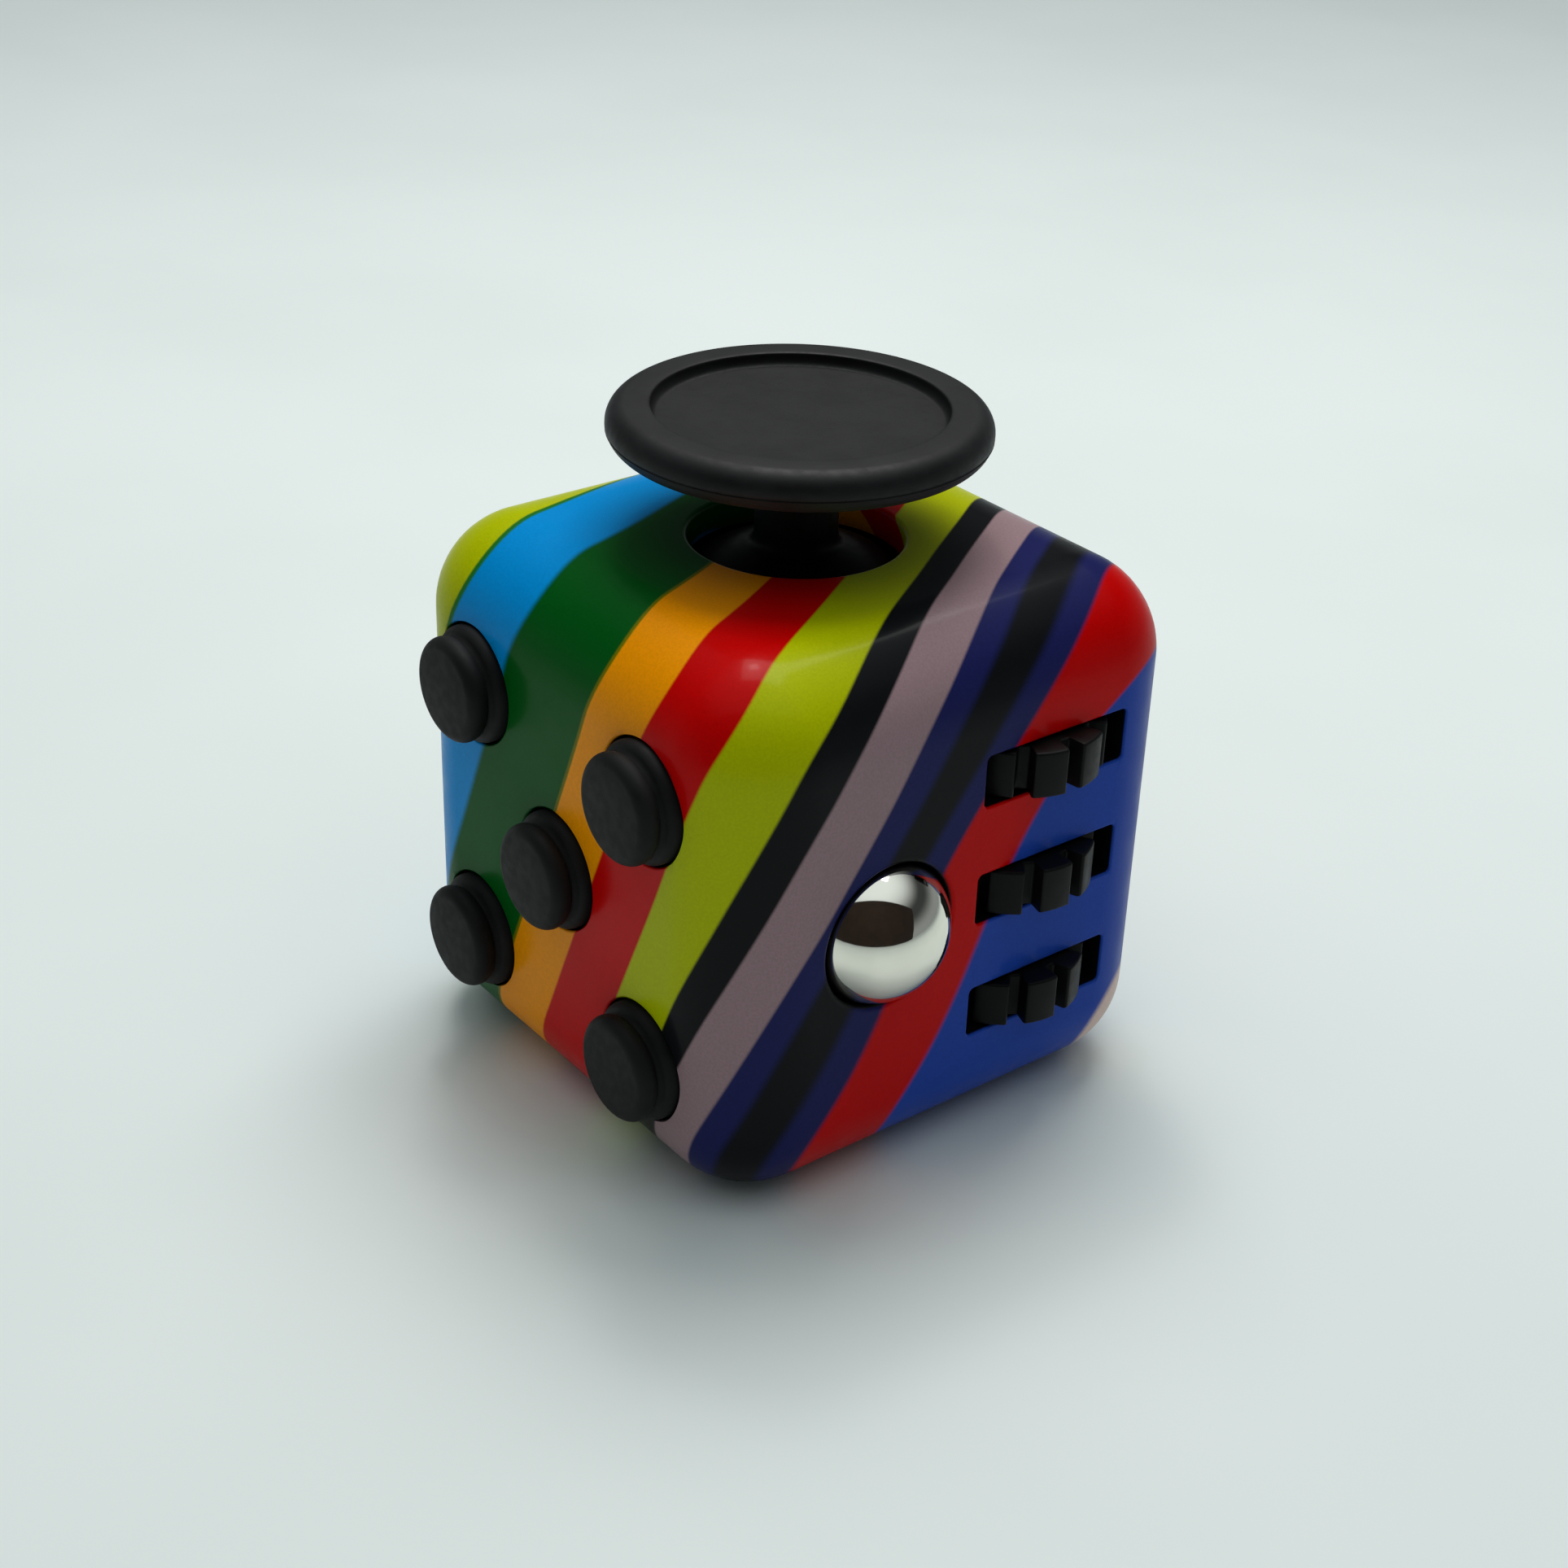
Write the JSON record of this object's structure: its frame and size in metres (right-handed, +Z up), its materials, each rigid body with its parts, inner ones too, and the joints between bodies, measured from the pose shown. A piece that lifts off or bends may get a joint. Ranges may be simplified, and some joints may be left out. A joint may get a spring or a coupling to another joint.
{
  "type": "fidget cube",
  "caption": "Palm-size cube desk toy with rounded edges: press buttons, finger wheels, rolling ball, tilting stick, flip rocker, turning dial and thumb dish.",
  "frame": {"origin": "middle of the flat under side, on the surface that the cube stands on", "axes": "+Z up along the stick, -Y out of the side with the press buttons, +X out of the side with the wheels and ball, +Y out of the dial side, -X out of the rocker side"},
  "size_m": [0.0381, 0.0375, 0.0408],
  "materials": {
    "casing": "glossy, printed with diagonal bands of several colours",
    "cap_black": "satin black",
    "gloss_black": "polished black",
    "wheel_black": "satin black",
    "soft_touch": "matt soft-touch dark grey",
    "chrome": "mirror polished",
    "steel": "bright steel",
    "inner_plastic": "moulded natural grey",
    "board": "green laminate board",
    "silicone": "translucent silicone"
  },
  "bodies": {
    "root": {"shell": "casing", "base_cover": "casing", "core_post": "inner_plastic", "core_post_screw": "steel", "click_board": "board", "click_board_screw_upper": "steel", "click_board_screw_lower": "steel", "gear_axle": "steel", "gear_bracket": "inner_plastic", "gear_bracket_screw": "steel", "ball_housing": "inner_plastic", "ball_housing_screw": "steel", "ball_snap_dome": "steel", "rocker_frame": "inner_plastic", "rocker_frame_screw_front": "steel", "rocker_frame_screw_rear": "steel", "rocker_pin": "steel", "dial_wave_washer": "steel", "snap_dome_upper_left": "steel", "silent_pad_upper_right": "silicone", "snap_dome_centre": "steel", "silent_pad_lower_left": "silicone", "snap_dome_lower_right": "steel"},
    "stick_spring": {"joystick_spring": "steel"},
    "stick": {"joystick_stem": "gloss_black", "joystick_cap": "cap_black"},
    "ball_carrier": {"ball_cup": "inner_plastic", "ball_spring": "steel"},
    "ball": {"ball": "chrome"},
    "rocker": {"rocker": "wheel_black", "rocker_plunger": "steel", "rocker_plunger_spring": "steel"},
    "dial": {"dial": "wheel_black", "dial_retainer": "inner_plastic", "dial_screw": "steel"},
    "button_upper_left": {"button_upper_left": "soft_touch"},
    "button_upper_right": {"button_upper_right": "soft_touch"},
    "button_centre": {"button_centre": "soft_touch"},
    "button_lower_left": {"button_lower_left": "soft_touch"},
    "button_lower_right": {"button_lower_right": "soft_touch"},
    "gear_upper": {"gear_upper": "wheel_black"},
    "gear_middle": {"gear_middle": "wheel_black"},
    "gear_lower": {"gear_lower": "wheel_black"}
  },
  "joints": [
    {"name": "button_upper_left_press", "type": "slide", "parent": "root", "child": "button_upper_left", "axis": [0, 1, 0], "range_m": [0, 0.0008], "stiffness_N_per_m": 600, "deforming": ["snap_dome_upper_left"]},
    {"name": "button_upper_right_press", "type": "slide", "parent": "root", "child": "button_upper_right", "axis": [0, 1, 0], "range_m": [0, 0.0008], "stiffness_N_per_m": 450, "deforming": ["silent_pad_upper_right"]},
    {"name": "button_centre_press", "type": "slide", "parent": "root", "child": "button_centre", "axis": [0, 1, 0], "range_m": [0, 0.0008], "stiffness_N_per_m": 600, "deforming": ["snap_dome_centre"]},
    {"name": "button_lower_left_press", "type": "slide", "parent": "root", "child": "button_lower_left", "axis": [0, 1, 0], "range_m": [0, 0.0008], "stiffness_N_per_m": 450, "deforming": ["silent_pad_lower_left"]},
    {"name": "button_lower_right_press", "type": "slide", "parent": "root", "child": "button_lower_right", "axis": [0, 1, 0], "range_m": [0, 0.0008], "stiffness_N_per_m": 600, "deforming": ["snap_dome_lower_right"]},
    {"name": "stick_tilt_front", "type": "hinge", "parent": "root", "child": "stick_spring", "pos_m": [0, 0, 0.0223], "axis": [1, 0, 0], "range_deg": [-9, 9], "stiffness_Nm_per_rad": 0.05, "deforming": ["joystick_spring"]},
    {"name": "stick_tilt_side", "type": "hinge", "parent": "stick_spring", "child": "stick", "pos_m": [0, 0, 0.0223], "axis": [0, 1, 0], "range_deg": [-9, 9], "stiffness_Nm_per_rad": 0.05},
    {"name": "gear_upper_spin", "type": "hinge", "parent": "root", "child": "gear_upper", "pos_m": [0.0131, 0.00587, 0.024], "axis": [0, 0, 1], "continuous": true},
    {"name": "gear_middle_spin", "type": "hinge", "parent": "root", "child": "gear_middle", "pos_m": [0.0131, 0.00587, 0.0165], "axis": [0, 0, 1], "continuous": true},
    {"name": "gear_lower_spin", "type": "hinge", "parent": "root", "child": "gear_lower", "pos_m": [0.0131, 0.00587, 0.009], "axis": [0, 0, 1], "continuous": true},
    {"name": "ball_press", "type": "slide", "parent": "root", "child": "ball_carrier", "axis": [-1, 0, 0], "range_m": [0, 0.0007], "stiffness_N_per_m": 600, "deforming": ["ball_spring", "ball_snap_dome"]},
    {"name": "ball_roll", "type": "hinge", "parent": "ball_carrier", "child": "ball", "pos_m": [0.01483, -0.00564, 0.0165], "axis": [0, 0, 1], "continuous": true},
    {"name": "rocker_flip", "type": "hinge", "parent": "root", "child": "rocker", "pos_m": [-0.0133, 0, 0.0165], "axis": [0, 1, 0], "range_deg": [0, 24]},
    {"name": "dial_spin", "type": "hinge", "parent": "root", "child": "dial", "pos_m": [0, 0.0165, 0.0165], "axis": [0, 1, 0], "continuous": true}
  ]
}
